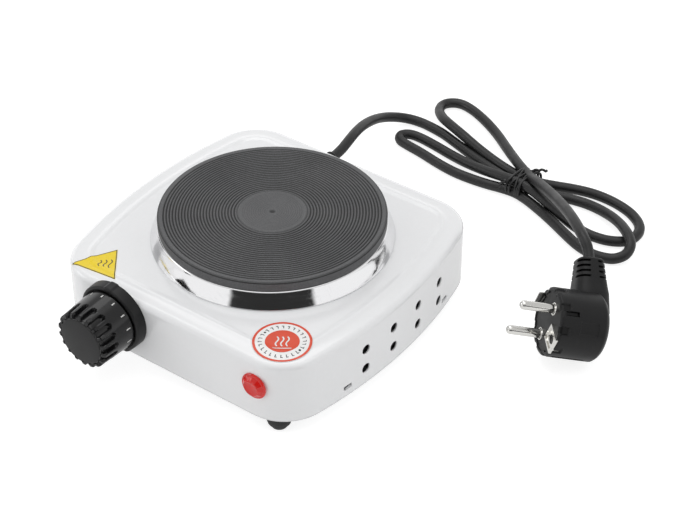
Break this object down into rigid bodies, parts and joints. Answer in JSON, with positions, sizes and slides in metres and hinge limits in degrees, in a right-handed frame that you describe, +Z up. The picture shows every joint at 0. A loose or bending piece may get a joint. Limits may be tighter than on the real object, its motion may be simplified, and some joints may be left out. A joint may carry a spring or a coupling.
{
  "type": "hot plate burner",
  "caption": "Small electric hot plate: bowed white casing, grooved cast plate in a flared ring, rotary heat knob, indicator lens and tied mains lead with an angled plug.",
  "frame": {"origin": "on the floor, under the middle of the appliance's box without its cord", "axes": "+X to the right seen from the front, -Y out of the front wall with the knob, +Z up out of the hot plate"},
  "size_m": [0.2604, 0.3359, 0.0593],
  "materials": {
    "enamel": "smooth gloss",
    "base_steel": "zinc plated",
    "zinc": "zinc plated",
    "rubber": "matt",
    "iron": "blackened, matt",
    "polished": "polished stainless",
    "filler": "matt",
    "coil": "oxidised",
    "ceramic": "matt",
    "brass": "plain",
    "knob_black": "gloss",
    "bezel_black": "satin",
    "lens_red": "translucent gloss",
    "lamp_glass": "clear",
    "white_plastic": "satin",
    "cord_black": "satin",
    "tie_black": "satin",
    "nickel": "nickel plated, bright",
    "wire_coat": "satin",
    "label_paper": "printed gloss film",
    "label_yellow": "printed gloss film"
  },
  "bodies": {
    "appliance": {"top_shell": "enamel", "base_plate": "base_steel", "foot_front_left": "rubber", "foot_front_right": "rubber", "foot_rear_left": "rubber", "foot_rear_right": "rubber", "foot_screws": "zinc", "foot_nuts": "zinc", "hot_plate": "iron", "trim_ring": "polished", "heating_coil": "coil", "insulation_fill": "filler", "plate_cover": "zinc", "heat_shield": "base_steel", "pin_beads": "ceramic", "pin_lugs": "brass", "clamping_strap": "base_steel", "centre_stud": "zinc", "stud_spacer": "zinc", "stud_washer": "zinc", "stud_nut": "zinc", "knob_bezel": "bezel_black", "thermostat_frame": "zinc", "thermostat_screws": "zinc", "thermostat_block": "ceramic", "contact_blades": "brass", "bimetal_strip": "coil", "indicator_lens": "lens_red", "indicator_clip": "zinc", "indicator_holder": "white_plastic", "neon_lamp": "lamp_glass", "cord_gland": "cord_black", "cord_inner_end": "cord_black", "cord_clamp": "white_plastic", "terminal_block": "ceramic", "terminal_screws": "brass", "earth_post": "zinc", "earth_lug": "brass", "earth_nuts": "zinc", "cord_bundle": "cord_black", "cord_tie": "tie_black", "cord_lead": "cord_black", "cord_tail": "cord_black", "cord_cores": "wire_coat", "live_wire": "wire_coat", "switched_wire": "wire_coat", "neutral_wire": "wire_coat", "earth_wire": "wire_coat", "lamp_wires": "wire_coat", "plug_body": "cord_black", "plug_pins": "nickel", "plug_earth_clips": "nickel", "plug_relief": "cord_black", "round_label": "label_paper", "triangle_label": "label_yellow"},
    "knob": {"knob_grip": "knob_black", "knob_cap": "knob_black", "knob_hub_clip": "zinc", "thermostat_spindle": "zinc"},
    "plunger": {"thermostat_plunger": "ceramic"}
  },
  "joints": [
    {"name": "knob_turn", "type": "hinge", "parent": "appliance", "child": "knob", "pos_m": [-0.03345, -0.08305, 0.0315], "axis": [0, -1, 0], "range_deg": [-285, 0]},
    {"name": "plunger_slide", "type": "slide", "parent": "appliance", "child": "plunger", "axis": [0, 1, 0], "range_m": [0, 0.00122]}
  ],
  "couplings": [
    {"joint": "plunger_slide", "follows": "knob_turn", "m_per_rad": -0.00024125}
  ]
}
